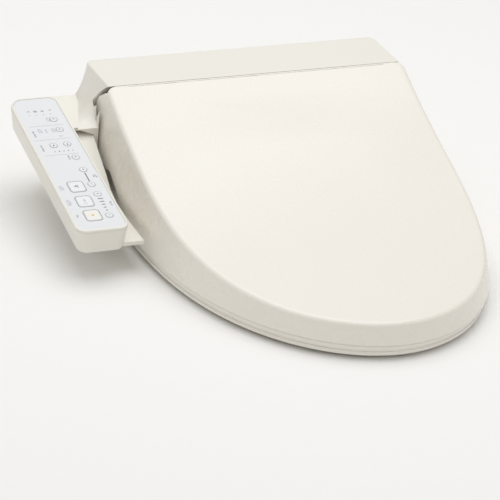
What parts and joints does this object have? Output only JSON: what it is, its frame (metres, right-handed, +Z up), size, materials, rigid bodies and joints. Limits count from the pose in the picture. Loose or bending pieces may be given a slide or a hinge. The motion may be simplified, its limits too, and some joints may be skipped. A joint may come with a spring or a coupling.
{
  "type": "electric bidet seat",
  "caption": "Electric bidet seat: rear unit with hinged lid, heated seat ring, sliding spray nozzle and a sloping side arm that carries the control keys.",
  "frame": {"origin": "middle of the footprint's bounding box, on the plane of the top of the toilet bowl", "axes": "+Z up, +Y towards the wall behind the toilet, -Y the front of the seat, the control arm on the -X side (the seated user's right)"},
  "size_m": [0.4886, 0.5352, 0.151],
  "materials": {
    "ivory_abs": "moulded, semi-gloss",
    "ivory_seat": "moulded, glossy",
    "panel_film": "printed film, satin",
    "key_film": "film over a key, satin",
    "stop_key": "film over a key, satin",
    "rubber": "moulded, matt",
    "nylon_white": "moulded, satin",
    "tank_plastic": "moulded, satin",
    "steel": "drawn, polished",
    "brass": "turned",
    "board_green": "solder mask",
    "coil_copper": "wound copper",
    "black_abs": "moulded, matt",
    "heater_foil": "rolled foil",
    "filter_carbon": "pressed carbon",
    "sensor_window": "tinted, polished",
    "hose_silicone": "extruded silicone"
  },
  "bodies": {
    "rear_unit": {"top_cover": "ivory_abs", "base_case": "ivory_abs", "control_case": "ivory_abs", "control_bezel": "ivory_abs", "panel_overlay": "panel_film", "cord_gland": "rubber", "mounting_plate": "nylon_white", "inlet_valve": "nylon_white", "flow_valve": "nylon_white", "nozzle_housing": "nylon_white", "water_tank": "tank_plastic", "case_screw_left": "steel", "case_screw_right": "steel", "hinge_pin_left": "steel", "hinge_pin_right": "steel", "tank_heater": "steel", "nozzle_motor": "steel", "inlet_connector": "brass", "panel_circuit_board": "board_green", "main_circuit_board": "board_green", "power_transformer": "coil_copper", "damper_left": "black_abs", "damper_right": "black_abs", "fan_housing": "black_abs", "deodoriser_filter": "filter_carbon", "seat_sensor_window": "sensor_window", "tank_hose": "hose_silicone", "nozzle_hose": "hose_silicone"},
    "seat": {"seat_upper_shell": "ivory_seat", "seat_lower_shell": "ivory_seat", "seat_arm_left": "ivory_seat", "seat_arm_right": "ivory_seat", "seat_heater": "heater_foil", "seat_bumper_front_left": "rubber", "seat_bumper_front_right": "rubber", "seat_bumper_rear_left": "rubber", "seat_bumper_rear_right": "rubber"},
    "lid": {"lid": "ivory_abs", "lid_bumper_left": "rubber", "lid_bumper_right": "rubber"},
    "nozzle": {"nozzle_wand": "steel", "nozzle_tip": "nylon_white"},
    "pinion": {"nozzle_pinion": "nylon_white"},
    "impeller": {"fan_impeller": "nylon_white"},
    "button": {"release_button": "ivory_abs"},
    "drain": {"drain_knob": "nylon_white"},
    "key_rear_wash": {"key_rear_wash": "key_film"},
    "key_front_wash": {"key_front_wash": "key_film"},
    "key_stop": {"key_stop": "stop_key"},
    "key_position_back": {"key_position_back": "key_film"},
    "key_position_forward": {"key_position_forward": "key_film"},
    "key_pressure_up": {"key_pressure_up": "key_film"},
    "key_pressure_down": {"key_pressure_down": "key_film"},
    "key_nozzle_clean": {"key_nozzle_clean": "key_film"},
    "key_water_temperature": {"key_water_temperature": "key_film"},
    "key_seat_temperature": {"key_seat_temperature": "key_film"},
    "key_energy_saver": {"key_energy_saver": "key_film"},
    "key_power": {"key_power": "key_film"}
  },
  "joints": [
    {"name": "seat_hinge", "type": "hinge", "parent": "rear_unit", "child": "seat", "pos_m": [0.0467, 0.1626, 0.107], "axis": [-1, 0, 0], "range_deg": [0, 95]},
    {"name": "lid_hinge", "type": "hinge", "parent": "seat", "child": "lid", "pos_m": [0.0467, 0.1626, 0.107], "axis": [1, 0, 0], "range_deg": [-95, 0]},
    {"name": "nozzle_slide", "type": "slide", "parent": "rear_unit", "child": "nozzle", "axis": [0, -0.9903, -0.1392], "range_m": [0, 0.085]},
    {"name": "pinion_spin", "type": "hinge", "parent": "rear_unit", "child": "pinion", "pos_m": [0.0467, 0.15732, 0.03873], "axis": [1, 0, 0], "range_deg": [-820, 5]},
    {"name": "fan_spin", "type": "hinge", "parent": "rear_unit", "child": "impeller", "pos_m": [-0.0833, 0.1556, 0.027], "axis": [0, 0, 1], "continuous": true},
    {"name": "release_press", "type": "slide", "parent": "rear_unit", "child": "button", "axis": [-1, 0, 0], "range_m": [0, 0.003], "stiffness_N_per_m": 300, "springref_m": -0.001},
    {"name": "drain_turn", "type": "hinge", "parent": "rear_unit", "child": "drain", "pos_m": [0.2317, 0.1396, 0.017], "axis": [1, 0, 0], "range_deg": [0, 90]},
    {"name": "key_rear_wash_press", "type": "slide", "parent": "rear_unit", "child": "key_rear_wash", "axis": [0, 0.1829, -0.9831], "range_m": [0, 0.0008], "stiffness_N_per_m": 400, "springref_m": -0.0006},
    {"name": "key_front_wash_press", "type": "slide", "parent": "rear_unit", "child": "key_front_wash", "axis": [0, 0.1829, -0.9831], "range_m": [0, 0.0008], "stiffness_N_per_m": 400, "springref_m": -0.0006},
    {"name": "key_stop_press", "type": "slide", "parent": "rear_unit", "child": "key_stop", "axis": [0, 0.1829, -0.9831], "range_m": [0, 0.0008], "stiffness_N_per_m": 400, "springref_m": -0.0006},
    {"name": "key_position_back_press", "type": "slide", "parent": "rear_unit", "child": "key_position_back", "axis": [0, 0.1829, -0.9831], "range_m": [0, 0.0008], "stiffness_N_per_m": 400, "springref_m": -0.0006},
    {"name": "key_position_forward_press", "type": "slide", "parent": "rear_unit", "child": "key_position_forward", "axis": [0, 0.1829, -0.9831], "range_m": [0, 0.0008], "stiffness_N_per_m": 400, "springref_m": -0.0006},
    {"name": "key_pressure_up_press", "type": "slide", "parent": "rear_unit", "child": "key_pressure_up", "axis": [0, 0.1829, -0.9831], "range_m": [0, 0.0008], "stiffness_N_per_m": 400, "springref_m": -0.0006},
    {"name": "key_pressure_down_press", "type": "slide", "parent": "rear_unit", "child": "key_pressure_down", "axis": [0, 0.1829, -0.9831], "range_m": [0, 0.0008], "stiffness_N_per_m": 400, "springref_m": -0.0006},
    {"name": "key_nozzle_clean_press", "type": "slide", "parent": "rear_unit", "child": "key_nozzle_clean", "axis": [0, 0.1829, -0.9831], "range_m": [0, 0.0008], "stiffness_N_per_m": 400, "springref_m": -0.0006},
    {"name": "key_water_temperature_press", "type": "slide", "parent": "rear_unit", "child": "key_water_temperature", "axis": [0, 0.1829, -0.9831], "range_m": [0, 0.0008], "stiffness_N_per_m": 400, "springref_m": -0.0006},
    {"name": "key_seat_temperature_press", "type": "slide", "parent": "rear_unit", "child": "key_seat_temperature", "axis": [0, 0.1829, -0.9831], "range_m": [0, 0.0008], "stiffness_N_per_m": 400, "springref_m": -0.0006},
    {"name": "key_energy_saver_press", "type": "slide", "parent": "rear_unit", "child": "key_energy_saver", "axis": [0, 0.1829, -0.9831], "range_m": [0, 0.0008], "stiffness_N_per_m": 400, "springref_m": -0.0006},
    {"name": "key_power_press", "type": "slide", "parent": "rear_unit", "child": "key_power", "axis": [0, 0.1829, -0.9831], "range_m": [0, 0.0008], "stiffness_N_per_m": 400, "springref_m": -0.0006}
  ],
  "couplings": [
    {"joint": "pinion_spin", "follows": "nozzle_slide", "rad_per_m": -166.67}
  ]
}
